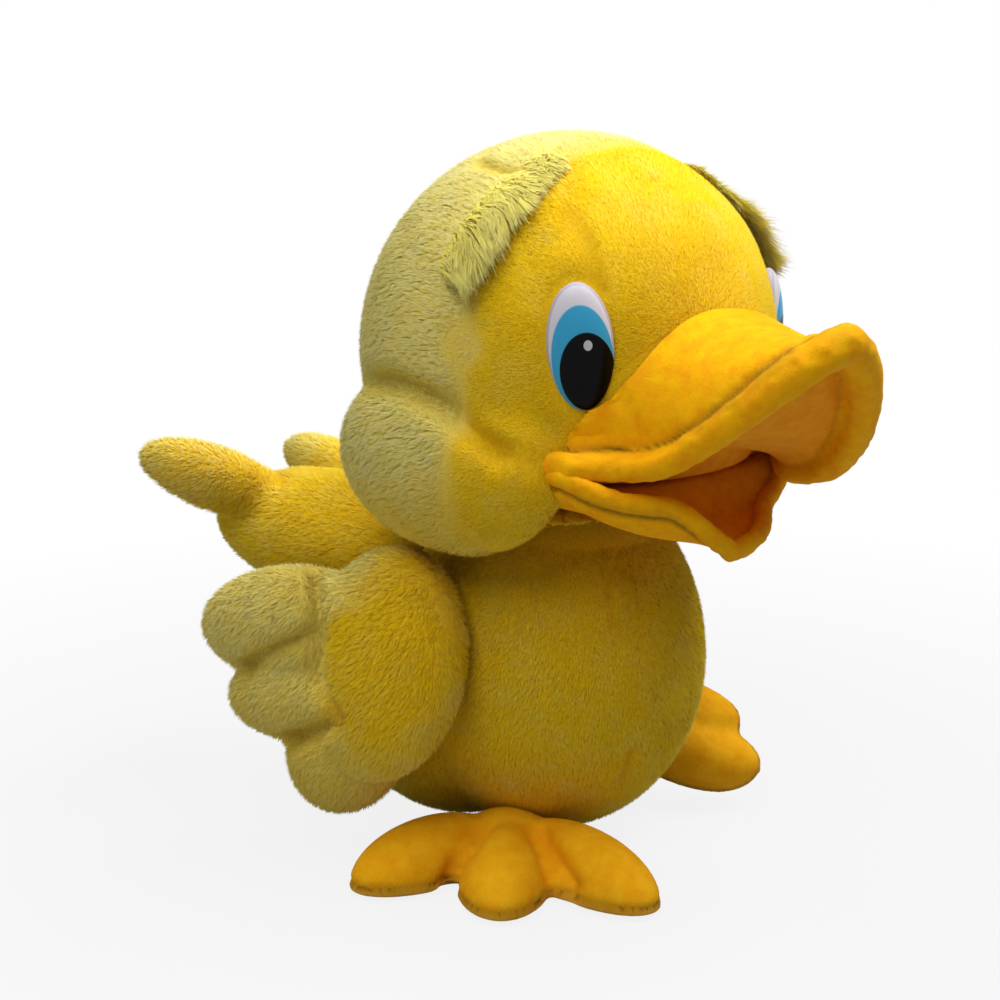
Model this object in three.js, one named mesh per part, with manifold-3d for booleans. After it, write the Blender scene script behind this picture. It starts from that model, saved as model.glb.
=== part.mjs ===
// A stuffed plush duck that stands on its round base and its feet.
// Millimetres and degrees. The duck looks along -Y, its right side is -X, and the floor is z = 0.
// Each skin is a shell with its stuffing inside, and each limb is cut to fit the form that carries it.
import * as THREE from 'three'
import { mergeVertices } from 'three/addons/utils/BufferGeometryUtils.js'
import Module from 'manifold-3d'

const wasm = await Module()
wasm.setup()

// Plush skin, mouth lining, and the clearance that every two neighbouring pieces keep
const plush = { wall: 3, lining: 2.6, gap: 0.3, overrun: 5 }

// The torso is a turned egg, so that the head can turn on it, with a rump low at its back
const torso = { radius: 78, widest: 88, height: 184, baseCut: 0.5 }
const rump = { width: 132, depth: 120, height: 104, backY: 106 }
const pouchHeight = 34
// The neck's fibre plug reaches down into the torso and up into the head
const neck = { radius: 36, below: 38, above: 30, clearance: 0.8 }

// The head stands on the torso's top, with its dome a little forward, and looks to its right at rest
const head = { width: 203, depth: 202, height: 204, aboveTorso: 57.6, forward: 12, turn: 20 }
const cheek = { width: 90, depth: 148, height: 93, outShare: 0.66, forwardShare: 0.11, downShare: 0.425 }

// Eyes are domed plastic ovals, each on a stem with a washer behind the skin
const eye = { width: 30, height: 56, depth: 16, azimuth: 42, rise: 7, tilt: 9, sink: 5.5 }
const stem = { radius: 2.5, length: 21, clearance: 0.3 }
const washer = { radius: 9, thickness: 2, inset: 10 }

// Brows are strips of longer pile that lie on the head from above the eye to the temple
const brow = { width: 36, height: 32, proud: 4, innerAzimuth: 44, innerRise: 53, outerAzimuth: 73, outerRise: 19 }

// The upper bill is a soft hood, low at its sides and turned up at its round tip
const upperBill = {
  rootY: -58, widestY: -106, tipY: -184, width: 118, rootWidth: 106, thickness: 17,
  crown: 26, crownDip: 5, crownDrop: 5, rim: -45, tipLift: 44, tipTwist: 20, stations: 8, ribs: 6,
}
// The lower bill is a shallow spoon whose tip droops
const lowerBill = {
  rootY: -46, widestY: -66, tipY: -122, width: 92, rootWidth: 86, thickness: 11,
  crown: -74, rim: -54, tipDrop: 20, stations: 6, ribs: 5, hingeY: -66, hingeZ: -79,
}
// Shares of a bill: its wall where it is narrow and where it is low, where its last section lies,
// and how far down to the rim the pocket in its cover and the filling in that pocket reach
const billShares = { narrow: 0.8, low: 0.9, end: 0.96, pocket: 0.95, filling: 0.94 }

// A wing's palm and fingers are placed by shares of its length, back from its front edge, and of its height
const wing = { length: 147, height: 136, thickness: 50, centreX: 91, frontY: -4, bottomZ: 25 }
const palmShare = { along: 0.3, up: 0.58, length: 0.57, height: 0.84, thickness: 1.08 }
const fingerShares = [
  { from: [0.28, 0.73], to: [1, 0.66], width: 0.38 },
  { from: [0.25, 0.47], to: [0.94, 0.4], width: 0.37 },
  { from: [0.3, 0.5], to: [0.56, 0.01], width: 0.45 },
]

// The tail is a middle lobe with a feather on each side, whose ends are placed by shares of the lobe's width,
// of its length from the root, and of its height above its axis
const tail = { rootY: 48, tipY: 200, rootZ: 130, tipZ: 146, width: 84, height: 70, seamZ: 150 }
const feather = { width: 34, thickness: 38 }
const featherShares = [
  { from: [-0.095, 0.658, 0.293], to: [-0.81, 1.013, 0.54] },
  { from: [0.357, 0.368, 0.159], to: [0.81, 1.039, 0.277] },
]

// Feet point outwards, each with a heel and three toes, which turn from the foot's heading
const foot = {
  height: 28, sole: 3, toeLength: 90, toeWidth: 44, heelLength: 46, heelWidth: 56, seam: 12, innerEdge: 20,
}
const toes = [{ lengthShare: 1.12, turn: -44 }, { lengthShare: 1, turn: 0 }, { lengthShare: 1, turn: 51 }]
// The right foot lies flat, and the left one leans up on its inner edge with its toes closer together
const feet = [
  { name: 'right', side: -1, heelX: 46, heelY: 0, heading: 65, spread: 1, lean: 0, raise: 0 },
  { name: 'left', side: 1, heelX: 56, heelY: 14, heading: 32, spread: 0.45, lean: 54, raise: 3 },
]

const billLimit = 15
const wingLimit = 35
const tailLimit = 20
const footLimit = 10

// Facets of the outer forms, and the share of them that hidden forms have
const facets = {
  dome: [20, 12], cheek: [14, 8], rump: [12, 7], palm: [12, 8], finger: [8, 6], eye: [16, 8],
  torsoSides: 20, torsoSteps: 7, rod: 10,
}
const hiddenShare = 0.65

const colours = {
  pile: 0xe6c424, palePile: 0xc9b84e, bill: 0xffb81a, palate: 0xf0a83c, foot: 0xf2ac1c,
  sole: 0xc89a3a, fibre: 0xf2f0ea, eye: 0x2f9fd0, plastic: 0xe8e6e0, pouch: 0xd8d2c4,
}

const degree = Math.PI / 180
const fillInset = plush.wall + plush.gap
const headZ = torso.height + head.aboveTorso
const neckBottom = torso.height - neck.below
const neckTop = torso.height + neck.above

// Closed three.js geometry to a solid
function solidOf(geometry) {
  const bare = geometry.index ? geometry.toNonIndexed() : geometry.clone()
  bare.deleteAttribute('normal')
  bare.deleteAttribute('uv')
  const merged = mergeVertices(bare, 1e-4)
  const vertProperties = new Float32Array(merged.attributes.position.array)
  const triVerts = new Uint32Array(merged.index.array)
  return new wasm.Manifold(new wasm.Mesh({ numProp: 3, vertProperties, triVerts }))
}

function geometryOf(solid) {
  const mesh = solid.getMesh()
  const geometry = new THREE.BufferGeometry()
  geometry.setAttribute('position', new THREE.BufferAttribute(new Float32Array(mesh.vertProperties), 3))
  geometry.setIndex(new THREE.BufferAttribute(new Uint32Array(mesh.triVerts), 1))
  return geometry
}

const union = (solids) => solids.reduce((whole, next) => whole.add(next))

// Unit sphere with its poles on Y, coarser for the hidden side of a skin and for stuffing
function unitSphere([sides, rings], inset) {
  const share = inset > 0 ? hiddenShare : 1
  return new THREE.SphereGeometry(1, Math.round(sides * share), Math.round(rings * share))
}

// An ellipsoid round a centre, with its poles above and below
function ball({ centre, size, detail }, inset = 0) {
  const geometry = unitSphere(detail, inset)
  geometry.rotateX(Math.PI / 2)
  geometry.scale(...size.map((value) => value / 2 - inset))
  geometry.translate(...centre)
  return solidOf(geometry)
}

// A long stuffed lobe from one end to the other, with its thickness along the given normal
function lobe({ from, to, width, thickness, normal, detail = facets.finger }, inset = 0) {
  const start = new THREE.Vector3(...from)
  const end = new THREE.Vector3(...to)
  const along = end.clone().sub(start)
  const half = along.length() / 2
  along.normalize()
  const flat = new THREE.Vector3(...normal)
  flat.addScaledVector(along, -flat.dot(along)).normalize()
  const across = along.clone().cross(flat)
  const geometry = unitSphere(detail, inset)
  geometry.scale(width / 2 - inset, half - inset, thickness / 2 - inset)
  const place = new THREE.Matrix4().makeBasis(across, along, flat)
  geometry.applyMatrix4(place.setPosition(start.add(end).multiplyScalar(1 / 2)))
  return solidOf(geometry)
}

// An upright round bar
function uprightBar(bottom, top, radius) {
  const geometry = new THREE.CylinderGeometry(radius, radius, top - bottom, facets.torsoSides)
  geometry.rotateX(Math.PI / 2)
  geometry.translate(0, 0, (top + bottom) / 2)
  return solidOf(geometry)
}

// A block that holds everything of the duck between two heights
function layer(bottom, top) {
  const reach = 2 * (head.depth + Math.abs(upperBill.tipY))
  const geometry = new THREE.BoxGeometry(reach, reach, top - bottom)
  geometry.translate(0, 0, (top + bottom) / 2)
  return solidOf(geometry)
}

// Turns a solid about an axis through a point
function turned(solid, { point, axis }, angle) {
  const geometry = geometryOf(solid)
  const pivot = new THREE.Vector3(...point)
  const direction = new THREE.Vector3(...axis).normalize()
  geometry.translate(...pivot.clone().negate())
  geometry.applyQuaternion(new THREE.Quaternion().setFromAxisAngle(direction, angle * degree))
  geometry.translate(...pivot)
  return solidOf(geometry)
}

// Cuts an obstacle away from a limb, both at rest and at the limit of the limb's swing
function clearOf(limb, obstacle, hinge) {
  return limb.subtract(obstacle).subtract(turned(obstacle, hinge, -hinge.limit))
}

const floorBlock = layer(-torso.height, 0)

// Torso
function egg(inset, widening = 1) {
  const share = inset > 0 ? hiddenShare : 1
  const steps = Math.round(facets.torsoSteps * share)
  const sides = Math.round(facets.torsoSides * share)
  const points = []
  for (let i = 0; i <= 2 * steps; i++) {
    const angle = (i / steps - 1) * Math.PI / 2
    const reach = (angle < 0 ? torso.widest + torso.baseCut : torso.height - torso.widest) - inset
    const radius = i === 0 || i === 2 * steps ? 0 : (torso.radius - inset) * Math.cos(angle) * widening
    points.push(new THREE.Vector2(radius, torso.widest + reach * Math.sin(angle)))
  }
  const geometry = new THREE.LatheGeometry(points, sides)
  geometry.rotateX(Math.PI / 2)
  return solidOf(geometry)
}
const rumpCentre = [0, rump.backY - rump.depth / 2, rump.height / 2 - torso.baseCut]
function torsoForm(inset = 0) {
  const seat = ball({ centre: rumpCentre, size: [rump.width, rump.depth, rump.height], detail: facets.rump }, inset)
  return egg(inset).add(seat)
}
const torsoClearance = torsoForm(-plush.gap)
const neckHole = uprightBar(neckBottom, neckTop, neck.radius + neck.clearance)
const neckStuffing = uprightBar(neckBottom + plush.gap, neckTop - plush.gap, neck.radius)
const torsoCover = torsoForm().subtract(torsoForm(plush.wall)).subtract(neckHole).subtract(floorBlock)
const torsoFill = torsoForm(fillInset).subtract(neckHole)
const pelletPouch = torsoFill.subtract(layer(pouchHeight, torso.height))
const torsoStuffing = torsoFill.subtract(layer(-plush.overrun, pouchHeight + plush.gap))

// Head, in its own frame: its origin is on the neck's axis at the dome's height, and it looks along -Y
const inHead = (solid) => solidOf(geometryOf(solid).translate(0, 0, -headZ))
function headForm(inset = 0) {
  const size = [head.width, head.depth, head.height]
  const dome = ball({ centre: [0, -head.forward, 0], size, detail: facets.dome }, inset)
  const cheeks = [-1, 1].map((side) => ball({
    centre: [
      side * head.width / 2 * cheek.outShare, -head.depth / 2 * cheek.forwardShare,
      -head.height / 2 * cheek.downShare,
    ],
    size: [cheek.width, cheek.depth, cheek.height], detail: facets.cheek,
  }, inset))
  return union([dome, ...cheeks])
}
// The room in which the torso's top turns lies round its facets' corners
const torsoBelowHead = inHead(egg(-plush.gap, 1 / Math.cos(Math.PI / facets.torsoSides)))
const headClearance = headForm(-plush.gap)

// A point on the dome, at an azimuth from straight ahead and a rise above its widest line
function onDome(side, azimuth, rise, inset) {
  const flat = Math.cos(rise * degree)
  return [
    side * (head.width / 2 - inset) * Math.sin(azimuth * degree) * flat,
    -(head.depth / 2 - inset) * Math.cos(azimuth * degree) * flat - head.forward,
    (head.height / 2 - inset) * Math.sin(rise * degree),
  ]
}

// Eye plate, stem and washer are made round the Y axis and then turned to face outwards
function faceOut(geometry, side) {
  geometry.rotateY(-side * eye.tilt * degree)
  geometry.rotateZ(side * eye.azimuth * degree)
  geometry.translate(...onDome(side, eye.azimuth, eye.rise, eye.sink))
  return solidOf(geometry)
}
function eyeRod(side, radius, front, back) {
  const geometry = new THREE.CylinderGeometry(radius, radius, back - front, facets.rod)
  geometry.translate(0, (back + front) / 2, 0)
  return faceOut(geometry, side)
}
const washerBack = washer.inset - eye.sink + washer.thickness
function eyeParts(side) {
  const geometry = unitSphere(facets.eye, 0)
  geometry.scale(eye.width / 2, eye.depth / 2, eye.height / 2)
  const plate = faceOut(geometry, side).subtract(headClearance)
  const front = -eye.depth / 2 + stem.radius
  const bore = eyeRod(side, stem.radius + stem.clearance, front, washerBack + plush.overrun)
  return {
    plate: plate.add(eyeRod(side, stem.radius, front, stem.length - eye.sink)),
    disc: eyeRod(side, washer.radius, washerBack - washer.thickness, washerBack).subtract(bore),
    stemRoom: eyeRod(side, stem.radius + stem.clearance, front, stem.length - eye.sink + plush.gap),
    washerRoom: eyeRod(side, washer.radius + plush.gap, -eye.sink, washerBack + plush.gap),
  }
}
const eyes = { right: eyeParts(-1), left: eyeParts(1) }
const stemRooms = eyes.right.stemRoom.add(eyes.left.stemRoom)
const washerRooms = eyes.right.washerRoom.add(eyes.left.washerRoom)
const headCover = headForm().subtract(torsoBelowHead).subtract(headForm(plush.wall)).subtract(stemRooms)
const headStuffing = headForm(fillInset).subtract(torsoBelowHead).subtract(inHead(neckHole))
  .subtract(stemRooms).subtract(washerRooms)

function browStrip(side) {
  const from = onDome(side, brow.innerAzimuth, brow.innerRise, -brow.proud)
  const to = onDome(side, brow.outerAzimuth, brow.outerRise, -brow.proud)
  const normal = from.map((value, i) => value + to[i])
  return lobe({ from, to, width: brow.width, thickness: brow.height, normal }).subtract(headClearance)
}

// The plan of a bill: widening from its root to its widest place, then round to its tip
function planOf(bill) {
  const sections = []
  for (let i = 0; i <= bill.stations; i++) {
    const y = bill.rootY + (bill.tipY - bill.rootY) * Math.sin(i / bill.stations * Math.PI / 2 * billShares.end)
    const past = Math.max(0, (bill.widestY - y) / (bill.widestY - bill.tipY))
    const before = Math.max(0, (y - bill.widestY) / (bill.rootY - bill.widestY))
    const width = bill.width - (bill.width - bill.rootWidth) * before
    const halfWidth = width / 2 * Math.sqrt(1 - past ** 2)
    sections.push({ y, past, halfWidth, wall: Math.min(bill.thickness, halfWidth * billShares.narrow) })
  }
  return sections
}
function upperSections(bill) {
  return planOf(bill).map((section) => {
    const crown = bill.crown - bill.crownDip * Math.sin(section.past * Math.PI) - bill.crownDrop * section.past ** 2
    const rim = bill.rim + bill.tipLift * section.past ** 2
    return { ...section, crown, rim, pivot: (crown + rim) / 2, twist: bill.tipTwist * section.past ** 2 }
  })
}
function lowerSections(bill) {
  return planOf(bill).map((section) => {
    const rim = bill.rim - bill.tipDrop * section.past ** 2
    return { ...section, crown: bill.crown - bill.tipDrop / 4 * section.past, rim, pivot: rim, twist: 0 }
  })
}

// One layer of a bill, between two shares of its thickness, as a loft of arched sections
function billLayer(bill, sections, innerShare, outerShare, reach = 1) {
  const columns = 2 * bill.ribs + 1
  const rings = sections.map(({ y, halfWidth, wall, crown, rim, pivot, twist }) => {
    const lowShare = Math.min(billShares.low, bill.thickness / Math.abs(crown - rim))
    const point = (share, i) => {
      const angle = (i / bill.ribs - 1) * Math.PI / 2 * reach
      const x = (halfWidth - wall * (1 - share)) * Math.sin(angle)
      const z = rim + (crown - rim) * (1 - (1 - share) * lowShare) * Math.cos(angle) - pivot
      const [sin, cos] = [Math.sin(twist * degree), Math.cos(twist * degree)]
      return [x * cos + z * sin, y, z * cos - x * sin + pivot]
    }
    const outer = Array.from({ length: columns }, (_, i) => point(outerShare, i))
    const inner = Array.from({ length: columns }, (_, i) => point(innerShare, columns - 1 - i))
    return [...outer, ...inner]
  })
  const size = 2 * columns
  const corners = []
  const quad = (a, b, c, d) => corners.push(a, b, c, a, c, d)
  for (let j = 0; j + 1 < rings.length; j++) {
    for (let i = 0; i < size; i++) {
      const k = (i + 1) % size
      const around = [rings[j][i], rings[j][k], rings[j + 1][k], rings[j + 1][i]]
      // The inner face is split along the same diagonals as the outer one
      if (i >= columns) around.push(around.shift())
      quad(...around)
    }
  }
  for (let i = 0; i + 1 < columns; i++) {
    const [a, b, c, d] = [i, i + 1, size - 2 - i, size - 1 - i]
    quad(rings[0][b], rings[0][a], rings[0][d], rings[0][c])
    quad(rings.at(-1)[a], rings.at(-1)[b], rings.at(-1)[c], rings.at(-1)[d])
  }
  // A hood's arch runs one way round and a spoon's the other
  if (sections[0].crown > sections[0].rim) corners.reverse()
  const geometry = new THREE.BufferGeometry()
  geometry.setAttribute('position', new THREE.Float32BufferAttribute(corners.flat(), 3))
  return solidOf(geometry)
}

// The cover wraps the filling as far as the rim, and the lining closes it on the mouth's side
function billParts(bill, sections) {
  const skin = 1 - plush.wall / bill.thickness
  const lining = plush.lining / bill.thickness
  const gap = plush.gap / bill.thickness
  const inner = sections.slice(0, -1)
  const filled = inner.map((section, i) => i + 1 < inner.length ? section : { ...section, y: section.y + plush.gap })
  const pocket = billLayer(bill, inner, 0, skin, billShares.pocket)
  return {
    cover: billLayer(bill, sections, lining + gap, 1).subtract(pocket).subtract(headClearance),
    stuffing: billLayer(bill, filled, lining + 2 * gap, skin - gap, billShares.filling).subtract(headClearance),
    lining: billLayer(bill, sections, 0, lining).subtract(headClearance),
  }
}
const upper = billParts(upperBill, upperSections(upperBill))
const lower = billParts(lowerBill, lowerSections(lowerBill))
const lowerHinge = { point: [0, lowerBill.hingeY, lowerBill.hingeZ], axis: [1, 0, 0], limit: billLimit }
for (const name of Object.keys(lower)) {
  lower[name] = clearOf(clearOf(lower[name], headClearance, lowerHinge), torsoBelowHead, lowerHinge)
}

// The ring that the cheeks sweep when the head turns
function cheekSweep() {
  const middle = [head.width / 2 * cheek.outShare, head.depth / 2 * cheek.forwardShare]
  const [outHalf, alongHalf, upHalf] = [cheek.width, cheek.depth, cheek.height].map((size) => size / 2 + plush.gap)
  const height = headZ - head.height / 2 * cheek.downShare
  const steps = 2 * facets.cheek[1]
  const sides = 2 * facets.torsoSides
  const points = [new THREE.Vector2(0, height - upHalf)]
  for (let i = 0; i <= steps; i++) {
    const angle = (i / steps - 1 / 2) * Math.PI
    let radius = 0
    for (let j = 0; j < facets.cheek[0]; j++) {
      const turn = j / facets.cheek[0] * Math.PI * 2
      const x = middle[0] + outHalf * Math.cos(angle) * Math.cos(turn)
      const y = middle[1] + alongHalf * Math.cos(angle) * Math.sin(turn)
      radius = Math.max(radius, Math.hypot(x, y))
    }
    points.push(new THREE.Vector2(radius / Math.cos(Math.PI / sides), height + upHalf * Math.sin(angle)))
  }
  points.push(new THREE.Vector2(0, height + upHalf))
  const geometry = new THREE.LatheGeometry(points, sides)
  geometry.rotateX(Math.PI / 2)
  return solidOf(geometry)
}
const wingCeiling = cheekSweep()

// Wings lie along the sides and swing out on an upright seam at their front edge
function wingForm(side, inset = 0) {
  const at = ([along, up]) => [side * wing.centreX, wing.frontY + wing.length * along, wing.bottomZ + wing.height * up]
  const palm = ball({
    centre: at([palmShare.along, palmShare.up]), detail: facets.palm,
    size: [wing.thickness * palmShare.thickness, wing.length * palmShare.length, wing.height * palmShare.height],
  }, inset)
  const fingers = fingerShares.map(({ from, to, width }) => lobe({
    from: at(from), to: at(to), width: wing.height * width, thickness: wing.thickness, normal: [side, 0, 0],
  }, inset))
  return union([palm, ...fingers])
}
const wingHinge = (side) => ({
  point: [side * torso.radius, wing.frontY, 0], axis: [0, 0, 1], limit: -side * wingLimit,
})

// Tail
function tailForm(inset = 0) {
  const normal = [0, 0, 1]
  const middle = {
    from: [0, tail.rootY, tail.rootZ], to: [0, tail.tipY, tail.tipZ], width: tail.width, thickness: tail.height,
    normal, detail: facets.palm,
  }
  const at = ([across, along, up]) => [
    tail.width * across,
    tail.rootY + (tail.tipY - tail.rootY) * along,
    tail.rootZ + (tail.tipZ - tail.rootZ) * along + tail.height * up,
  ]
  const outer = featherShares.map(({ from, to }) => ({ from: at(from), to: at(to), ...feather, normal }))
  return union([middle, ...outer].map((item) => lobe(item, inset)))
}
const seamRise = (tail.seamZ - torso.widest) / (torso.height - torso.widest)
const tailHinge = {
  point: [0, torso.radius * Math.sqrt(1 - seamRise ** 2), tail.seamZ], axis: [1, 0, 0], limit: tailLimit,
}

// Feet
function footPlan({ side, heelX, heelY, heading, spread }) {
  const away = (angle) => [side * Math.sin(angle * degree), -Math.cos(angle * degree)]
  const reach = (length, angle) => {
    const [x, y] = away(angle)
    return [side * heelX + length * x, heelY + length * y]
  }
  return { away, reach, innerAngle: heading + toes[0].turn * spread }
}
function footForm(spec, inset = 0) {
  const normal = [0, 0, 1]
  const z = foot.height / 2 - torso.baseCut
  const { reach } = footPlan(spec)
  const ankle = {
    from: [...reach(-foot.heelLength / 4, spec.heading), z], to: [...reach(foot.heelLength, spec.heading), z],
    width: foot.heelWidth, thickness: foot.height, normal,
  }
  const fan = toes.map(({ lengthShare, turn }) => ({
    from: [...reach(0, spec.heading), z],
    to: [...reach(foot.toeLength * lengthShare, spec.heading + turn * spec.spread), z],
    width: foot.toeWidth, thickness: foot.height, normal,
  }))
  return union([ankle, ...fan].map((item) => lobe(item, inset)))
}
// The line under a foot's inner toe, about which it leans
function innerEdge(spec) {
  const { away, reach, innerAngle } = footPlan(spec)
  return { point: [...reach(foot.innerEdge, innerAngle - 90), 0], axis: [...away(innerAngle), 0] }
}
// The flat foot lifts its toes at the heel's seam, and the leaning one sinks about its inner edge
function footHinge(spec) {
  if (spec.lean) return { ...innerEdge(spec), limit: -spec.side * footLimit }
  const { away, reach } = footPlan(spec)
  const [x, y] = away(spec.heading)
  return { point: [...reach(foot.seam, spec.heading), foot.height / 2], axis: [y, -x, 0], limit: footLimit }
}
function footParts(spec) {
  const hinge = footHinge(spec)
  const leaning = (solid) => spec.lean ? turned(solid, innerEdge(spec), spec.side * spec.lean) : solid
  const form = footForm(spec)
  const drop = leaning(form).boundingBox().min[2] + torso.baseCut - spec.raise
  const aboveSole = layer(foot.sole + plush.gap, torso.height)
  const fitted = (solid) => clearOf(leaning(solid).translate([0, 0, -drop]), torsoClearance, hinge)
    .subtract(floorBlock)
  return {
    cover: fitted(form.intersect(aboveSole).subtract(footForm(spec, plush.wall))),
    stuffing: fitted(footForm(spec, fillInset).intersect(aboveSole)),
    sole: fitted(form.intersect(layer(0, foot.sole))),
  }
}

const duck = new THREE.Group()
const headGroup = new THREE.Group()
headGroup.position.z = headZ
headGroup.rotation.z = -head.turn * THREE.MathUtils.DEG2RAD
duck.add(headGroup)

function add(holder, name, solid, color, roughness) {
  const mesh = new THREE.Mesh(geometryOf(solid), new THREE.MeshStandardMaterial({ color, roughness, metalness: 0 }))
  mesh.name = name
  holder.add(mesh)
}

add(duck, 'torso_cover', torsoCover, colours.pile, 0.95)
add(duck, 'torso_stuffing', torsoStuffing, colours.fibre, 1)
add(duck, 'pellet_pouch', pelletPouch, colours.pouch, 0.9)
add(duck, 'neck_stuffing', neckStuffing, colours.fibre, 1)
add(headGroup, 'head_cover', headCover, colours.pile, 0.95)
add(headGroup, 'head_stuffing', headStuffing, colours.fibre, 1)
for (const [name, side] of [['right', -1], ['left', 1]]) {
  add(headGroup, `eye_${name}`, eyes[name].plate, colours.eye, 0.15)
  add(headGroup, `eye_${name}_washer`, eyes[name].disc, colours.plastic, 0.5)
  add(headGroup, `brow_${name}`, browStrip(side), colours.palePile, 1)
  const wingFitted = (solid) => clearOf(solid, torsoClearance, wingHinge(side)).subtract(wingCeiling)
  const wingSkin = wingForm(side).subtract(wingForm(side, plush.wall))
  add(duck, `wing_${name}_cover`, wingFitted(wingSkin), colours.palePile, 0.95)
  add(duck, `wing_${name}_stuffing`, wingFitted(wingForm(side, fillInset)), colours.fibre, 1)
}
for (const [name, bill] of [['upper_bill', upper], ['lower_bill', lower]]) {
  add(headGroup, `${name}_cover`, bill.cover, colours.bill, 0.85)
  add(headGroup, `${name}_stuffing`, bill.stuffing, colours.fibre, 1)
  add(headGroup, `${name}_lining`, bill.lining, colours.palate, 0.85)
}
for (const spec of feet) {
  const { cover, stuffing, sole } = footParts(spec)
  add(duck, `foot_${spec.name}_cover`, cover, colours.foot, 0.9)
  add(duck, `foot_${spec.name}_stuffing`, stuffing, colours.fibre, 1)
  add(duck, `foot_${spec.name}_sole`, sole, colours.sole, 0.9)
}
const tailSkin = tailForm().subtract(tailForm(plush.wall))
add(duck, 'tail_cover', clearOf(tailSkin, torsoClearance, tailHinge), colours.pile, 0.95)
add(duck, 'tail_stuffing', clearOf(tailForm(fillInset), torsoClearance, tailHinge), colours.fibre, 1)

export default duck
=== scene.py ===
import math

import bpy
import numpy as np
from mathutils import Matrix, Vector
from mathutils.bvhtree import BVHTree


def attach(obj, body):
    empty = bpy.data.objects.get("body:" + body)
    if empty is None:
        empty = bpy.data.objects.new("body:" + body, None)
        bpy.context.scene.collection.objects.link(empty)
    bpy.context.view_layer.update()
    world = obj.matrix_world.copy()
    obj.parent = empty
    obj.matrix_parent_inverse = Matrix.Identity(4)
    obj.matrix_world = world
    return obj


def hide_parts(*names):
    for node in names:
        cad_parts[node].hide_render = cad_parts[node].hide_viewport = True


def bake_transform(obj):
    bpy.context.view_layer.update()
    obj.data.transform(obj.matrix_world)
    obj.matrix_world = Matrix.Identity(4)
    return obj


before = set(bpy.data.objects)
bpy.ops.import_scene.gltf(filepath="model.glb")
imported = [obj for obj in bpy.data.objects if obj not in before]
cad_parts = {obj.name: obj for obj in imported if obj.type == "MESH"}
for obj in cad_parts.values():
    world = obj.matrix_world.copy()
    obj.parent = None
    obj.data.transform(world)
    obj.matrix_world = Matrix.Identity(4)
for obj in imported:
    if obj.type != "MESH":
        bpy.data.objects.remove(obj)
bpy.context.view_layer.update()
mm = 0.001
bothSides = ((-1, "right"), (1, "left"))

# Sizes below are in millimetres and degrees. The duck looks along -Y and its head is turned to its right.

print("camera")
view = {
    "azimuth": -62, "elevation": 12, "distance": 830, "target": (-4.3, 26.8, 164), "sensor": 36,
    "focal": 1680, "frame": 1000,  # focal length and width of the frame, in pixels
}
viewTurn = math.radians(view["azimuth"])
viewRise = math.radians(view["elevation"])
viewRight = np.array([math.cos(viewTurn), math.sin(viewTurn), 0])
viewLevel = np.array([math.sin(viewTurn), -math.cos(viewTurn), 0])
viewBack = viewLevel * math.cos(viewRise) + [0, 0, math.sin(viewRise)]
viewUp = np.cross(viewBack, viewRight)
viewPlace = np.array(view["target"]) + viewBack * view["distance"]
bpy.ops.object.camera_add(location=viewPlace * mm, rotation=(math.pi / 2 - viewRise, 0, viewTurn))
camera = bpy.context.active_object
camera.data.sensor_width = view["sensor"]
camera.data.lens = view["focal"] / view["frame"] * view["sensor"]
camera.data.clip_start = 0.01
bpy.context.scene.camera = camera


def unit(vectors):
    return vectors / np.maximum(np.linalg.norm(vectors, axis=-1, keepdims=True), 1e-9)


def ease(value, low, high):
    share = np.clip((value - low) / (high - low), 0, 1)
    return share * share * (3 - 2 * share)


def pick(*pieces):  # selects only these, the first one active
    bpy.ops.object.select_all(action="DESELECT")
    for piece in pieces:
        piece.select_set(True)
    bpy.context.view_layer.objects.active = pieces[0]


def applied(piece, kind, **settings):
    pick(piece)
    modifier = piece.modifiers.new(kind.title(), kind)
    for key, value in settings.items():
        setattr(modifier, key, value)
    bpy.ops.object.modifier_apply(modifier=modifier.name)


def addBall(size, place):
    bpy.ops.mesh.primitive_uv_sphere_add(segments=40, ring_count=24, radius=0.5)
    ball = bpy.context.active_object
    ball.data.transform(Matrix.Scale(mm, 4) @ place @ Matrix.Diagonal((*size, 1)))
    return ball


def addLobe(start, end, width, thickness, normal, inset=0):  # a stuffed lobe from one end to the other
    start, end = Vector(start), Vector(end)
    along = (end - start).normalized()
    flat = Vector(normal)
    flat = (flat - along * flat.dot(along)).normalized()
    turn = Matrix((along.cross(flat), along, flat)).transposed().to_4x4()
    size = (width - 2 * inset, (end - start).length - 2 * inset, thickness - 2 * inset)
    return addBall(size, Matrix.Translation((start + end) / 2) @ turn)


def linked(name, mesh):
    piece = bpy.data.objects.new(name, mesh)
    bpy.context.collection.objects.link(piece)
    return piece


def meshPiece(name, places, faces):  # with its faces turned outward
    mesh = bpy.data.meshes.new(name)
    mesh.from_pydata([tuple(p) for p in np.asarray(places) * mm], [], faces)
    piece = linked(name, mesh)
    pick(piece)
    bpy.ops.object.mode_set(mode="EDIT")
    bpy.ops.mesh.select_all(action="SELECT")
    bpy.ops.mesh.normals_make_consistent(inside=False)
    bpy.ops.object.mode_set(mode="OBJECT")
    return piece


def ringFaces(count, size):  # between rings of places, each ring closed
    return [(i * size + k, i * size + (k + 1) % size, (i + 1) * size + (k + 1) % size, (i + 1) * size + k)
            for i in range(count - 1) for k in range(size)]


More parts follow.
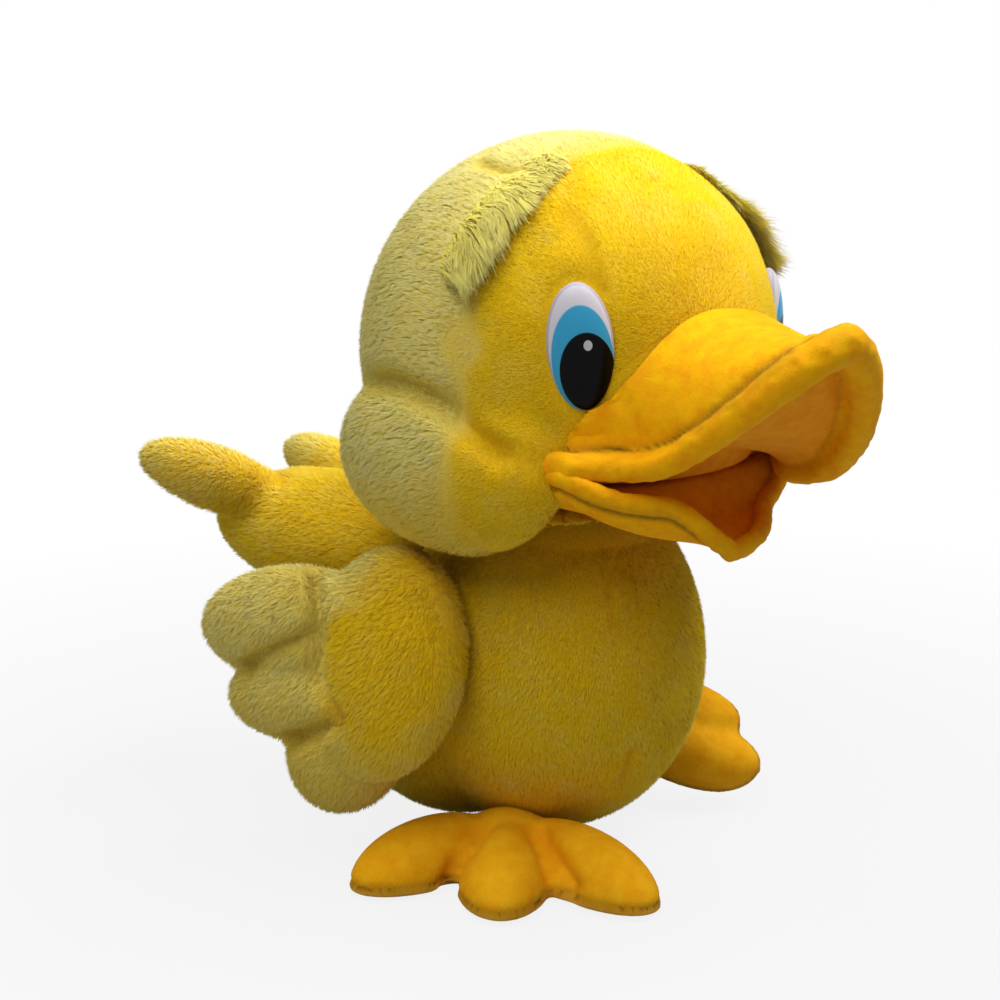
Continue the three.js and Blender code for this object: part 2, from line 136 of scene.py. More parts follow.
def addTube(name, path, radii):  # a closed round tube along a path
    sides = 14
    ahead = unit(np.gradient(path, axis=0))
    side = unit(np.cross(ahead, [0.13, 0.21, 0.97]))
    rise = np.cross(side, ahead)
    turns = np.arange(sides) / sides * 2 * math.pi
    places = [path[i] + radii[i] * (side[i] * math.cos(turn) + rise[i] * math.sin(turn))
              for i in range(len(path)) for turn in turns]
    ends = [tuple(range(sides))[::-1], tuple((len(path) - 1) * sides + k for k in range(sides))]
    return meshPiece(name, places, ends + ringFaces(len(path), sides))


def merged(name, forms, voxel, relax):  # one closed skin round all the forms
    pick(*forms)
    bpy.ops.object.join()
    skin = bpy.context.active_object
    skin.name = name
    skin.data.name = name
    return remeshed(skin, voxel, relax)


def remeshed(skin, voxel, relax):
    applied(skin, "REMESH", mode="VOXEL", voxel_size=voxel * mm)
    applied(skin, "SMOOTH", factor=0.5, iterations=relax)
    return skin


def cutAway(skin, cutter):
    applied(skin, "BOOLEAN", operation="DIFFERENCE", object=cutter, solver="EXACT")
    bpy.data.objects.remove(cutter)


def readOut(piece, key):
    values = np.empty(len(piece.data.vertices) * 3)
    piece.data.vertices.foreach_get(key, values)
    return values.reshape(-1, 3)


def placesOf(piece):
    return readOut(piece, "co") / mm


def normalsOf(piece):
    return readOut(piece, "normal")


def setPlaces(piece, places):
    piece.data.vertices.foreach_set("co", (places * mm).ravel())
    piece.data.update()


def weightsOf(piece, name):
    weights = np.zeros(len(piece.data.vertices), np.float32)
    layer = piece.data.attributes.get(name)
    if layer:
        layer.data.foreach_get("value", weights)
    return weights


def moved(places, matrix):
    matrix = np.array(matrix)
    return places @ matrix[:3, :3].T + matrix[:3, 3]


def setWeights(piece, name, weights):
    layer = piece.data.attributes.get(name) or piece.data.attributes.new(name, "FLOAT", "POINT")
    layer.data.foreach_set("value", weights.astype(np.float32))


def clad(piece, material):
    piece.data.materials.clear()
    piece.data.materials.append(material)


# Without a body, the piece is left unattached
def finished(piece, body, slot, *nodes, cloth=None, fill=0):
    if cloth:
        clad(piece, materials[cloth])
    pick(piece)
    bpy.ops.object.shade_smooth()
    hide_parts(*nodes)
    if body:
        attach(piece, body)


def fromLine(places, line):  # distance of each place from a line of points
    line = np.asarray(line, float)
    nearest = np.full(len(places), 1e9)
    for a, b in zip(line[:-1], line[1:]):
        along = b - a
        share = np.clip((places - a) @ along / max(along @ along, 1e-9), 0, 1)
        nearest = np.minimum(nearest, np.linalg.norm(places - a - share[:, None] * along, axis=1))
    return nearest


def seenOn(piece, line):  # a line that the photograph shows, given in its pixels, laid on the piece
    skin = BVHTree.FromObject(piece, bpy.context.evaluated_depsgraph_get())
    found = []
    for (x0, y0), (x1, y1) in zip(line[:-1], line[1:]):
        for share in np.linspace(0, 1, 8):
            x = x0 + (x1 - x0) * share - view["frame"] / 2
            y = y0 + (y1 - y0) * share - view["frame"] / 2
            aim = unit(viewRight * x / view["focal"] - viewUp * y / view["focal"] - viewBack)
            hit = skin.ray_cast(Vector(viewPlace * mm), Vector(aim))[0]
            if hit:
                found.append(np.array(hit) / mm)
    return np.array(found)


def pressed(piece, line, depth, width, mark="seam", fade=0):  # sews or presses a line into a skin
    places = placesOf(piece)
    near = np.exp(-(fromLine(places, line) / width) ** 2)
    if fade:  # shallower towards the line's first point
        near *= 0.25 + 0.75 * ease(np.linalg.norm(places - line[0], axis=1), 0, fade)
    setPlaces(piece, places - normalsOf(piece) * (near * depth)[:, None])
    # A "seam" weight also darkens the pile strands rooted along the line: painted crease shade
    setWeights(piece, mark, np.maximum(weightsOf(piece, mark), near))


def drift(places, size, seed):  # smooth random vectors that change over about one size
    grid = np.random.default_rng(seed).normal(size=(48, 48, 48, 3))
    scaled = places / size + 500
    low = np.floor(scaled).astype(int)
    part = scaled - low
    part = part * part * (3 - 2 * part)
    total = np.zeros((len(places), 3))
    for corner in range(8):
        step = np.array([corner & 1, corner >> 1 & 1, corner >> 2 & 1])
        share = np.prod(np.where(step, part, 1 - part), axis=1)
        total += grid[tuple(((low + step) % 48).T)] * share[:, None]
    return total


def nearestTuft(places, size, seed):  # from each place to the middle of its tuft
    offsets = np.random.default_rng(seed).random((32, 32, 32, 3))
    scaled = places / size + 500
    cell = np.floor(scaled).astype(int)
    best = np.full(len(places), 1e9)
    toward = np.zeros((len(places), 3))
    for step in np.ndindex(3, 3, 3):
        other = cell + step - 1
        gap = other + offsets[tuple((other % 32).T)] - scaled
        far = np.linalg.norm(gap, axis=1)
        nearer = far < best
        best[nearer] = far[nearer]
        toward[nearer] = gap[nearer]
    return toward * size


# Strands of real pile on a skin. Each is a sliver, combed along the skin and drawn into tufts. A look's lean
# and ruffle are degrees from the skin's normal and their scatter; stray, draw, soft and shade are shares,
# shade being how far strands rooted in seams and creases are darkened as painted crease shade.
# comb, pale and trim give each root's heading, tint and share of the full length.
def grownPile(name, skin, look, comb, pale, trim, body=None, material="pile"):
    dice = np.random.default_rng(look["seed"])
    skin.data.calc_loop_triangles()
    corners = np.array([triangle.vertices[:] for triangle in skin.data.loop_triangles])
    places, bent = placesOf(skin), normalsOf(skin)
    a, b, c = places[corners].transpose(1, 0, 2)
    areas = np.linalg.norm(np.cross(b - a, c - a), axis=1) / 2
    count = int(areas.sum() * look["perSquareMm"])
    chosen = np.searchsorted(np.cumsum(areas) / areas.sum(), dice.random(count))
    chosen = corners[np.minimum(chosen, len(corners) - 1)]
    u, v = dice.random(count), dice.random(count)
    over = u + v > 1
    u[over], v[over] = 1 - u[over], 1 - v[over]
    shares = np.stack([1 - u - v, u, v], axis=1)[:, :, None]
    roots = (places[chosen] * shares).sum(axis=1)
    normals = unit((bent[chosen] * shares).sum(axis=1))
    trims = trim(roots)
    kept = dice.random(count) < np.clip(trims * 2, 0, 1)
    sewn = (weightsOf(skin, "seam")[chosen] * shares[:, :, 0]).sum(axis=1)[kept]
    roots, normals, trims = roots[kept], normals[kept], trims[kept] * (1 - 0.45 * sewn)
    count = len(roots)

    stray = drift(roots, look["wander"], look["seed"])
    stray /= np.maximum(np.linalg.norm(stray, axis=1, keepdims=True) / 1.2, 1)  # too little to part the pile
    heading = unit(comb(roots)) + stray * look["stray"]
    flat = unit(heading - normals * (heading * normals).sum(axis=1)[:, None])
    lean = np.radians(look["lean"] + dice.normal(size=count) * look["ruffle"])[:, None]
    length = (look["length"] * trims * (0.75 + 0.5 * dice.random(count)))[:, None]
    tuft = nearestTuft(roots, look["tuft"], look["seed"])
    tuft -= normals * (tuft * normals).sum(axis=1)[:, None]
    lying = normals * np.cos(lean) + flat * np.sin(lean)
    rising = normals * np.cos(lean / 2) + flat * np.sin(lean / 2)
    starts = roots - normals * look["sunk"]
    mids = starts + rising * length * 0.5 + tuft * look["draw"] * 0.35
    tips = starts + (rising * 0.4 + lying * 0.6) * length + tuft * look["draw"]
    roll = dice.normal(size=count)[:, None] * 0.45
    across = unit(np.cross(lying, normals))
    across = (across * np.cos(roll) + normals * np.sin(roll)) * look["width"] / 2
    points, slivers, heights = [starts - across, starts + across, tips], [[0, 1, 2]], [0, 0, 1]
    if look["parts"] > 1:  # long strands bend in their middle
        points[2:2] = [mids - across * 0.85, mids + across * 0.85]
        slivers, heights = [[0, 1, 3], [0, 3, 2], [2, 3, 4]], [0, 0, 0.5, 0.5, 1]
    points, heights, each = np.stack(points, axis=1), np.array(heights), len(heights)
    loops = (np.arange(count)[:, None, None] * each + np.array(slivers)[None]).reshape(-1)
    tint = pale(roots) + dice.normal(size=count) * 0.08 + drift(roots, 9, 5)[:, 0] * 0.07
    tint = np.clip(tint, 0.02, 0.98)
    pile = bpy.data.meshes.new(name)
    pile.vertices.add(count * each)
    pile.vertices.foreach_set("co", (points * mm).ravel())
    pile.loops.add(len(loops))
    pile.loops.foreach_set("vertex_index", loops)
    pile.polygons.add(len(loops) // 3)
    pile.polygons.foreach_set("loop_start", np.arange(0, len(loops), 3))
    layer = pile.uv_layers.new(name="OFBake")
    strand = loops // each
    # Strands rooted in a seam or crease start lower on the colour ramp and are darker there: painted crease
    # shade
    up = (0.2 + 0.8 * heights[loops % each]) * (1 - look["shade"] * sewn[strand])
    layer.data.foreach_set("uv", np.stack([tint[strand], up], axis=1).ravel())
    pile.update(calc_edges=True)
    # Soft fibres scatter light as the skin under them would, so they shade mostly with its normals
    own = np.cross(across, lying) / look["width"] * 2
    soft = unit(normals * look["soft"] + flat * 0.12 + own * (1 - look["soft"]))
    pile.normals_split_custom_set_from_vertices(np.repeat(soft, each, axis=0).tolist())
    pile.materials.append(materials[material])
    print(name, len(loops) // 3)
    piece = linked(name, pile)
    if body:
        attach(piece, body)
    return piece


def linear(code):  # sRGB hex to linear colour
    values = [int(code[i:i + 2], 16) / 255 for i in (1, 3, 5)]
    return (*[v / 12.92 if v <= 0.04045 else ((v + 0.055) / 1.055) ** 2.4 for v in values], 1)


def addNode(tree, kind, settings=None, values=None, links=None):
    node = tree.nodes.new("ShaderNode" + kind)
    for key, value in (settings or {}).items():
        setattr(node, key, value)
    for key, value in (values or {}).items():
        node.inputs[key].default_value = value
    for key, (source, output) in (links or {}).items():
        tree.links.new(source.outputs[output], node.inputs[key])
    return node


# Each of the next five gives a node with the output to link from
def addRamp(tree, source, *stops):
    ramp = addNode(tree, "ValToRGB", links={0: source})
    for i, (place, code) in enumerate(stops):
        if i > 1:
            ramp.color_ramp.elements.new(place)
        ramp.color_ramp.elements[i].position = place
        ramp.color_ramp.elements[i].color = linear(code)
    return ramp, "Color"


def addMix(tree, share, *pair):  # of two colours, each a hex code or what to link from
    values = {6 + i: linear(colour) for i, colour in enumerate(pair) if isinstance(colour, str)}
    links = {6 + i: colour for i, colour in enumerate(pair) if not isinstance(colour, str)}
    return addNode(tree, "Mix", {"data_type": "RGBA"}, values, {0: share, **links}), 2


def addNoise(tree, **values):
    spot = addNode(tree, "TexCoord")
    return addNode(tree, "TexNoise", values=values, links={"Vector": (spot, "Object")}), 0


def addWeight(tree, name):  # reads the weights that setWeights wrote
    return addNode(tree, "Attribute", {"attribute_name": name}), "Fac"


def addMath(tree, operation, values, links, **settings):
    return addNode(tree, "Math", {"operation": operation, **settings}, values, links), 0


def addSurface(tree, colour, height, values):  # height: what to link from, strength and distance
    links = {"Base Color": colour}
    if height:
        relief = {"Strength": height[1], "Distance": height[2]}
        bump = addNode(tree, "Bump", values=relief, links={"Height": height[0]})
        links["Normal"] = (bump, "Normal")
    shader = addNode(tree, "BsdfPrincipled", values=values, links=links)
    addNode(tree, "OutputMaterial", links={"Surface": (shader, "BSDF")})


def newMaterial(name):
    material = bpy.data.materials.new(name)
    material.use_nodes = True
    material.node_tree.nodes.clear()
    return material, material.node_tree


# Polyester pile: matt fibres with painted shade, darker at the root where they stand close together and
# darkest at the foot of a crease, and paler at the cut tip
def pileMaterial(name, yellow, lemon, sheen):  # each from the foot of a crease to the tips
    material, tree = newMaterial(name)
    spot = addNode(tree, "UVMap", {"uv_map": "OFBake"})
    parts = addNode(tree, "SeparateXYZ", links={0: (spot, "UV")})
    heights = (0, 0.2, 0.6, 1)
    deep = addRamp(tree, (parts, "Y"), *zip(heights, yellow))
    fair = addRamp(tree, (parts, "Y"), *zip(heights, lemon))
    addSurface(tree, addMix(tree, (parts, "X"), deep, fair), None, {
        "Roughness": 0.85, "Specular IOR Level": 0.06,
        "Sheen Weight": sheen[0], "Sheen Roughness": sheen[1], "Sheen Tint": linear("#FFF4A0"),
    })
    return material


# Knitted polyester backing: 1 mm stitches, seen only where the pile parts, dyed as the pile above it
def backingMaterial(name, low, high, lemon):
    material, tree = newMaterial(name)
    fibres = addNoise(tree, Scale=900, Detail=3)
    yellow = addRamp(tree, fibres, (0.3, low), (0.7, high))
    addSurface(tree, addMix(tree, addWeight(tree, "pale"), yellow, lemon), (fibres, 0.5, 0.0006), {
        "Roughness": 0.9, "Specular IOR Level": 0.2, "Sheen Weight": 0.3, "Sheen Tint": linear("#FFF2B0"),
    })
    return material


# Velour with a 1 mm nap: brushed patches lighter and darker by 4 to 10 mm, fine fibres of 0.5 mm drawn coarse
# enough to show, a second cloth where the "lining" weight says, and dark brushed thread in the seams
def velourMaterial(name, outer, lining, seam):
    material, tree = newMaterial(name)
    patches = addNoise(tree, Scale=130, Detail=4, Roughness=0.6)
    fibres = addNoise(tree, Scale=1300, Detail=2, Roughness=0.7)
    mixed = addMath(tree, "MULTIPLY_ADD", {1: 0.55}, {0: fibres, 2: patches})
    cloths = [addRamp(tree, mixed, (0.55, deep), (0.98, fair)) for deep, fair in (outer, lining)]
    cloth = addMix(tree, addWeight(tree, "lining"), *cloths)
    broken = addMath(tree, "MULTIPLY", None, {0: addWeight(tree, "seam"), 1: mixed}, use_clamp=True)
    height = addMath(tree, "MULTIPLY_ADD", {1: 0.5}, {0: fibres, 2: patches})
    addSurface(tree, addMix(tree, broken, cloth, seam), (height, 0.55, 0.0008), {
        "Roughness": 0.8, "Specular IOR Level": 0.12,
        "Sheen Weight": 0.25, "Sheen Roughness": 0.4, "Sheen Tint": linear("#FFC030"),
    })
    return material


# Moulded acrylic eye behind a clear dome: printed white, a blue oval and a black oval, and a small pale grey
# dot over the black one
def eyeMaterial(name, side):
    material, tree = newMaterial(name)
    spot = addNode(tree, "UVMap", {"uv_map": "OFBake"})
    ovals = [  # centre across and up, half width and half height, in shares of the eye's half sizes
        (0, 0, 0.93, 0.955, "#D8D4DC"),
        (0.03, -0.17, 0.91, 0.83, "#3FA6D2"),
        (0.15, -0.38, 0.82, 0.62, "#040405"),
        (0.21, 0.04, 0.13, 0.08, "#C4C4C4"),
    ]
    colour = "#B9B4C4"
    for across, up, halfWidth, halfHeight, code in ovals:
        oval = addNode(tree, "Mapping", {"vector_type": "TEXTURE"},
                       {"Location": ((1 - side * across) / 2, (1 + up) / 2, 0),
                        "Scale": (halfWidth / 2, halfHeight / 2, 1)},
                       {"Vector": (spot, "UV")})
        reach = addNode(tree, "VectorMath", {"operation": "LENGTH"}, links={0: (oval, 0)})
        edge = addNode(tree, "MapRange", links={"Value": (reach, "Value")},
                       values={"From Min": 0.985, "From Max": 1.015, "To Min": 1, "To Max": 0})
        colour = addMix(tree, (edge, 0), colour, code)
    addSurface(tree, colour, None, {"Roughness": 0.25, "IOR": 1.49, "Specular IOR Level": 0.08})
    return material


# Polypropylene washer: satin moulded plastic with a fine grain of about 1 mm
def washerMaterial(name):
    material, tree = newMaterial(name)
    colour = addRamp(tree, addNoise(tree, Scale=1000), (0.3, "#E2E0DA"), (0.7, "#EEECE6"))
    addSurface(tree, colour, None, {"Roughness": 0.45, "IOR": 1.49})
    return material


print("materials")
materials = {
    # The first colour of each pile ramp, at the foot of a crease, and the darker root colour after it are
    # painted shade
    "pile": pileMaterial("polyesterPile", ("#8A6200", "#F0B800", "#FFD400", "#FFE108"),
                         ("#6E5C14", "#E2D062", "#F0E67C", "#FDFCC8"), (0.22, 0.28)),
    "browPile": pileMaterial("longPolyesterPile", ("#D8B830", "#F4DC4C", "#FCEC66", "#FFFA98"),
                             ("#D8C44C", "#F4E468", "#FCF080", "#FFFCB4"), (0.35, 0.5)),
    "backing": backingMaterial("knittedBacking", "#D8A800", "#EEC400", "#E6D66C"),
    "bill": velourMaterial("brushedVelour", ("#F6A200", "#FFC000"), ("#E88C00", "#F8A410"), "#7A5A12"),
    "foot": velourMaterial("amberVelour", ("#F4A400", "#FFC018"), ("#D09420", "#E4AE3C"), "#8A5C10"),
    "washer": washerMaterial("mouldedPolypropylene"),
}


print("torso")
torso = {
    "radius": 78, "widest": 88, "height": 184, "rump": (132, 120, 104), "rumpBack": 106, "rumpSink": 0.5,
    "pileRoom": 2.5,  # how far the backing lies under the pile's tips
    "voxel": 3, "foot": 0.3,  # the lowest that the skin reaches
    "seams": ([(603, 569), (610, 592), (615, 620)], [(630, 750), (626, 766), (621, 779)]),
    "seamDepth": 1.2, "seamWidth": 2.5,
}


def addEgg(inset):
    egg = addBall((2, 2, 2), Matrix.Identity(4))
    places = placesOf(egg)
    below = places[:, 2] < 0
    places[:, :2] *= torso["radius"] - inset
    places[:, 2] *= np.where(below, torso["widest"], torso["height"] - torso["widest"]) - inset
    places[:, 2] += torso["widest"]
    setPlaces(egg, places)
    return egg


def addTorso(name, inset):
    _, depth, height = torso["rump"]
    middle = Matrix.Translation((0, torso["rumpBack"] - depth / 2, height / 2 - torso["rumpSink"]))
    rump = addBall([size - 2 * inset for size in torso["rump"]], middle)
    return merged(name, [addEgg(inset), rump], torso["voxel"], 6)


torsoSkin = addTorso("torsoSkin", torso["pileRoom"])
places = placesOf(torsoSkin)
places[:, 2] = np.maximum(places[:, 2], torso["foot"])
setPlaces(torsoSkin, places)
for line in torso["seams"]:
    pressed(torsoSkin, seenOn(torsoSkin, line), torso["seamDepth"], torso["seamWidth"])


print("head")
head = {
    "size": (203, 202, 204), "forward": 12, "height": 241.6, "turn": -20,
    "cheek": (90, 148, 93), "cheekPlace": (67, -11.1, -43.35),
    "chin": {"depth": 18, "under": (46, 66), "ahead": (20, 50), "across": (52, 76)},
    "creases": [  # a line seen in the photograph, its depth, width and fade, and whether both sides have it
        ([(482, 163), (505, 172), (524, 175)], 1.5, 3, 0, False),
        ([(573, 219), (588, 242), (596, 268), (601, 288)], 1, 4.5, 0, False),
        ([(350, 372), (372, 379), (397, 383), (440, 403), (480, 437), (498, 452)], 6.5, 5.5, 30, True),
        ([(498, 452), (530, 462), (556, 470)], 1.8, 8, 0, True),
    ],
    "panel": (-52, -34),  # the smooth face gives way to longer pile between these depths
    "pale": (-84, -26),  # and yellow pile to pale pile between these heights
    "billRoot": {"halfWidth": 72, "middle": -42, "height": 67, "foot": -48, "depth": 14, "front": -30},
    "mouth": {"halfWidth": 76, "low": -52, "high": -36, "front": -40},
    "neck": {"radius": 40, "top": 200},
    "voxel": 2.6,
}
headPlace = Matrix.Translation((0, 0, head["height"])) @ Matrix.Rotation(math.radians(head["turn"]), 4, "Z")
headTurn = np.array(headPlace.to_3x3())


def inHead(places):  # from the duck's frame to the head's own
    return (places - [0, 0, head["height"]]) @ headTurn


def addHead(inset):
    middle = headPlace @ Matrix.Translation((0, -head["forward"], 0))
    forms = [addBall([s - 2 * inset for s in head["size"]], middle)]
    x, y, z = head["cheekPlace"]
    for side in (-1, 1):
        place = headPlace @ Matrix.Translation((side * x, y, z))
        forms.append(addBall([s - 2 * inset for s in head["cheek"]], place))
    return forms


headSkin = merged("headSkin", addHead(torso["pileRoom"]), head["voxel"], 5)
cutAway(headSkin, addEgg(-1))
remeshed(headSkin, head["voxel"], 4)
for line, depth, width, fade, both in head["creases"]:
    crease = seenOn(headSkin, line)
    pressed(headSkin, crease, depth, width, fade=fade)
    if both:
        crease = inHead(crease) * [-1, 1, 1] @ headTurn.T + [0, 0, head["height"]]
        pressed(headSkin, crease, depth, width, fade=fade)


def drawnChin(piece):  # the chin is drawn in under the lower bill
    places, chin = placesOf(piece), head["chin"]
    local = inHead(places)
    share = ease(-local[:, 2], *chin["under"]) * ease(-local[:, 1], *chin["ahead"])
    share *= 1 - ease(np.abs(local[:, 0]), *chin["across"])
    setPlaces(piece, places - normalsOf(piece) * (share * chin["depth"])[:, None])


drawnChin(headSkin)

eye = {
    "size": (28.5, 15, 54), "azimuth": 42, "rise": 7, "tilt": -5,
    "sink": {-1: 5.5, 1: 9}, "hollow": {-1: 0, 1: 3.5},  # the left eye is pressed deeper
    "socket": 1.8, "front": 3, "bare": 1, "sparse": 1.12,  # the last three in shares of its half sizes
    "backCut": 3.2, "lip": 9.5, "stem": 12.4, "segments": 56, "rings": 36,
}


def onDome(side, azimuth, rise, inset):
    turn, lift = math.radians(azimuth), math.radians(rise)
    halves = [size / 2 - inset for size in head["size"]]
    x, y = halves[0] * math.sin(turn) * math.cos(lift), halves[1] * math.cos(turn) * math.cos(lift)
    return side * x, -y - head["forward"], halves[2] * math.sin(lift)


def eyePlace(side):
    place = headPlace @ Matrix.Translation(onDome(side, eye["azimuth"], eye["rise"], eye["sink"][side]))
    place = place @ Matrix.Rotation(math.radians(side * eye["azimuth"]), 4, "Z")
    return place @ Matrix.Rotation(math.radians(-side * eye["tilt"]), 4, "Y")


def inEye(places, side):  # in shares of the eye's half sizes
    return moved(places, eyePlace(side).inverted()) / (np.array(eye["size"]) / 2)


# Sets each eye in a shallow socket
places, normals = placesOf(headSkin), normalsOf(headSkin)
for side in (-1, 1):
    local = inEye(places, side)
    reach = np.hypot(local[:, 0], local[:, 2])
    front = local[:, 1] < eye["front"]
    deep = eye["hollow"][side] * np.exp(-(reach / 1.3) ** 4)
    deep += np.exp(-((reach - 1) / 0.22) ** 2) * eye["socket"]
    places -= normals * np.where(front, deep, 0)[:, None]
setPlaces(headSkin, places)


print("bills")
# Sizes are in the head's own frame. Heights of a rim are at its root, its widest and its tip, then how late
# it rises. The right rim is the nearer one. A corner has where the right and the left rim start to spread to
# the mouth's corner, where that ends, and the half width, the rims' height and the crown's height there.
rollSet = 3  # how far the roll's middle lies inside the hood's edge
upperBill = {
    "rootY": -66, "widestY": -106, "tipY": -182, "width": 118, "rootWidth": 152, "shift": 16,
    "rightRim": (-41.5, -37, 19, 1.55), "leftRim": (-52, -52, 18, 2.1),
    "crown": (26, 24), "crownDip": 8, "wall": 13, "filled": 0.12, "square": 0.8, "inset": 7,
    "roll": (7.3, 9.5, 8.5), "corner": (-95, -106, -84, 80, -38, 26), "spread": 0.25,
    "stations": 26, "ribs": 14, "voxel": 1.7,
    "folds": [  # a line seen in the photograph, its depth and width
        ([(834, 375), (842, 405), (838, 435), (820, 455)], 2.2, 3),
        ([(797, 333), (806, 346), (812, 352)], 1.2, 3),
        ([(588, 428), (612, 440), (645, 446), (668, 440)], 2.6, 7),
        ([(618, 398), (632, 416), (640, 438)], 1.1, 4),
    ],
}
lowerBill = {
    "rootY": -56, "widestY": -86, "tipY": -122, "width": 94, "rootWidth": 152, "shift": 12,
    "rightRim": (-47, -54, -74, 7), "leftRim": (-54, -62, -80, 0.9),
    "crown": (-77, -80), "crownDip": 0, "wall": 7, "filled": 0.42, "square": 0.9, "inset": 4,
    "roll": (5.3, 5.4, 4.8), "corner": (-113, -101, -84, 80, -42, -68), "spread": 1,
    "stations": 20, "ribs": 12, "voxel": 1.5, "folds": [],
}


def billSections(bill):  # y, right rim's x and z, left rim's x and z, crown, share of the way past the widest
    sections = []
    for i in range(bill["stations"] + 1):  # closer together towards the tip, the last one just short of it
        ahead = math.sin(i / bill["stations"] * math.pi / 2 * 0.95)
        y = bill["rootY"] + (bill["tipY"] - bill["rootY"]) * ahead
        past = max(0, (bill["widestY"] - y) / (bill["widestY"] - bill["tipY"]))
        before = max(0, (y - bill["widestY"]) / (bill["rootY"] - bill["widestY"]))
        half = (bill["width"] - (bill["width"] - bill["rootWidth"]) * before) / 2 * math.sqrt(1 - past ** 2)
        middle = -bill["shift"] * past ** 2
        crown = bill["crown"][0] + (bill["crown"][1] - bill["crown"][0]) * past ** 2
        crown -= bill["crownDip"] * math.sin(past * math.pi)
        # Both bills spread to the same corners of the mouth, the left side later than the right one
        *starts, end, wide, low, arch = bill["corner"]
        edges = []
        for rim, start in zip(("rightRim", "leftRim"), starts):
            share = ease(y, start, end)
            root, widest, tip, late = bill[rim]
            height = widest + (root - widest) * before + (tip - widest) * past ** late
            height += (low - height) * share ** 2
            edges.append((half + (wide - half) * share * bill["spread"], height))
        crown += (arch - crown) * share ** 2
        (right, rightZ), (left, leftZ) = edges
        sections.append((y, middle - right, rightZ, middle + left, leftZ, crown, past))
    return np.array(sections)


def billAxes(section, drawnIn):  # middle of a section, half its width, its two directions and its height
    right, left = section[..., [1, 2]], section[..., [3, 4]]
    middle = (right + left) / 2
    across = unit(left - right)
    half = np.maximum(np.linalg.norm(left - right, axis=-1) / 2 - drawnIn, 1)
    upward = np.stack([-across[..., 1], across[..., 0]], axis=-1)
    return middle, half, across, upward, section[..., 5] - middle[..., 1]


def addBill(name, bill, cutters):
    sections = billSections(bill)
    columns = 2 * bill["ribs"] + 1
    turns = np.linspace(-math.pi / 2, math.pi / 2, columns)
    places, rightRim, leftRim = [], [], []
    for section in sections:
        middle, half, across, upward, height = billAxes(section, bill["inset"] - rollSet)
        inner = half - min(bill["wall"], half * 0.8)
        for wide, tall, angles in ((half, height, turns), (inner, height * bill["filled"], turns[::-1])):
            for angle in angles:
                out = math.copysign(abs(math.sin(angle)) ** bill["square"], angle)
                x, z = middle + across * wide * out + upward * tall * math.cos(angle) ** bill["square"]
                places.append((x, section[0], z))
        start, _, end, wide = bill["corner"][:4]
        reach = max(half - rollSet, 0)
        reach += max(wide - rollSet - reach, 0) * ease(section[0], start, end) * (1 - bill["spread"])
        for rim, way in ((rightRim, -1), (leftRim, 1)):
            x, z = middle + across * reach * way
            rim.append((x, section[0], z))
    size = 2 * columns
    faces = ringFaces(len(sections), size)
    for start in (0, (len(sections) - 1) * size):
        for i in range(columns - 1):
            faces.append((start + i, start + i + 1, start + size - 2 - i, start + size - 1 - i))
    hood = meshPiece(name, places, faces)
    # The rolled rim: a stuffed roll from the root round the tip and back
    rim = np.array(rightRim + leftRim[::-1])
    side = np.repeat([-1, 1], len(sections))
    radii = rollAt(bill, side, np.concatenate([sections[:, 6], sections[::-1, 6]]))
    skin = merged(name, [hood, addTube(name + "Roll", rim, radii)], bill["voxel"], 5)
    setPlaces(skin, moved(placesOf(skin), headPlace))
    rim = moved(rim, headPlace)
    for cutter in cutters:
        cutAway(skin, cutter)
    return skin, rim


def rollAt(bill, side, past):  # the roll's radius: right side, tip and left side
    right, tip, left = bill["roll"]
    sides = right + (left - right) * (np.clip(side, -1, 1) + 1) / 2
    return sides + (tip - sides) * np.clip(past, 0, 1) ** 3


def dressBill(skin, bill, rim, part, body):
    for line, depth, width in bill["folds"]:
        pressed(skin, seenOn(skin, line), depth, width, "fold")
    places, normals = placesOf(skin), normalsOf(skin)
    local = inHead(places)
    sections = billSections(bill)[::-1]
    section = np.stack([np.interp(local[:, 1], sections[:, 0], column) for column in sections.T], axis=1)
    middle, half, across, upward, height = billAxes(section, bill["inset"] - rollSet)
    out = ((local[:, [0, 2]] - middle) * across).sum(axis=1) / half
    rise = ((local[:, [0, 2]] - middle) * upward).sum(axis=1) / height
    arch = np.sqrt(np.clip(1 - out ** 2, 0.04, 1))
    inner = 1 - ease(rise / arch, bill["filled"] + 0.15, bill["filled"] + 0.3)
    reach = fromLine(places, rim) / rollAt(bill, out, section[:, 6])
    # A groove where the roll is sewn to the hood and to the lining, drawn into small puckers
    sewn = 1.12  # in shares of the roll's radius
    edge = np.exp(-((reach - sewn) / 0.2) ** 2)
    near = np.exp(-((reach - sewn) / 0.6) ** 2)
    setPlaces(skin, places - normals * (edge * 1.5 + near * drift(places, 3.6, 8)[:, 0] * 0.32)[:, None])
    setWeights(skin, "lining", inner * ease(reach, 0.98, sewn))
    setWeights(skin, "seam", np.exp(-((reach - sewn) / 0.14) ** 2) * (1 - inner * 0.75))
    finished(skin, body, "velour_orange", f"{part}_cover", f"{part}_stuffing", f"{part}_lining",
             cloth="bill", fill=0.7)
    bpy.ops.object.shade_smooth_by_angle(angle=math.radians(60))


def domeCutter():
    return merged("domeCutter", addHead(torso["pileRoom"] - 0.6), 3, 2)


upperSkin, upperRim = addBill("upperBill", upperBill, [domeCutter()])
dressBill(upperSkin, upperBill, upperRim, "upper_bill", "head")
lowerCutter = domeCutter()
drawnChin(lowerCutter)
lowerSkin, lowerRim = addBill("lowerBill", lowerBill, [lowerCutter, addEgg(0)])
dressBill(lowerSkin, lowerBill, lowerRim, "lower_bill", "lower_bill")


